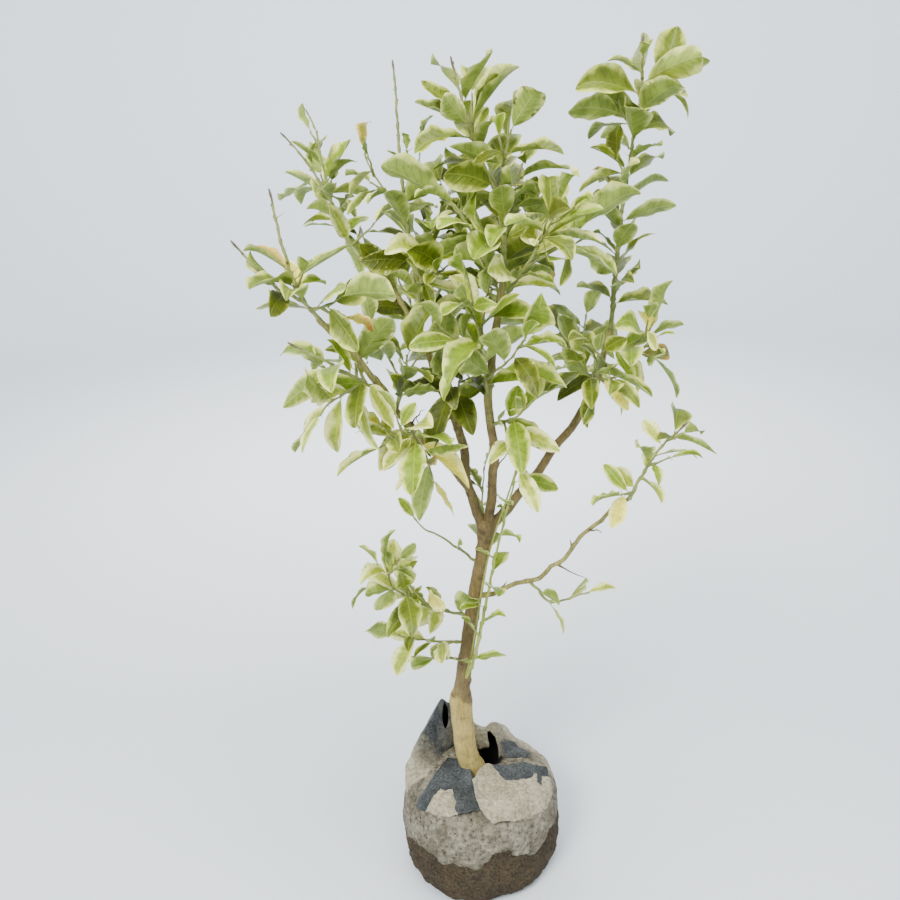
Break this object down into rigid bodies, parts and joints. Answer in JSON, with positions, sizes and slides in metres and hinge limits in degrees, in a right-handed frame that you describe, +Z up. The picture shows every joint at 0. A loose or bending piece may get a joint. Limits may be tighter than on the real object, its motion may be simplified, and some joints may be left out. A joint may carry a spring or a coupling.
{
  "type": "sapling with root ball",
  "caption": "Young grafted citrus tree with a forked trunk and loose leafy crown, standing on a root ball in a cut plastic sack.",
  "frame": {"origin": "centre of the flat underside of the root ball", "axes": "+Z up, -Y towards the front, where the sack's flaps are folded down"},
  "size_m": [0.6686, 0.5059, 1.4844],
  "materials": {
    "bark": "matte",
    "foliage": "satin",
    "green_shoots": "satin",
    "mud": "matte",
    "sack_film": "satin"
  },
  "bodies": {
    "root": {"trunk": "bark", "left_bough": "bark", "left_low_arm": "bark", "left_high_arm": "bark", "centre_leader": "bark", "right_bough": "bark", "low_right_branch": "bark", "whip_foliage": "foliage", "high_arm_foliage": "foliage", "low_arm_foliage": "foliage", "left_mid_foliage": "foliage", "left_front_foliage": "foliage", "left_inner_foliage": "foliage", "left_upper_foliage": "foliage", "left_back_foliage": "foliage", "leader_top_foliage": "foliage", "leader_right_foliage": "foliage", "leader_front_foliage": "foliage", "leader_back_foliage": "foliage", "leader_low_foliage": "foliage", "right_top_foliage": "foliage", "right_mid_foliage": "foliage", "right_inner_foliage": "foliage", "right_back_foliage": "foliage", "low_right_foliage": "foliage", "low_right_spur_foliage": "foliage", "low_left_foliage": "foliage", "low_left_under_foliage": "foliage", "trunk_low_twig": "foliage", "trunk_back_foliage": "foliage", "trunk_left_twig": "foliage", "green_sucker": "green_shoots", "root_ball": "mud", "sack_back_wall": "sack_film", "sack_flap_left": "sack_film", "sack_flap_right": "sack_film"}
  },
  "joints": []
}
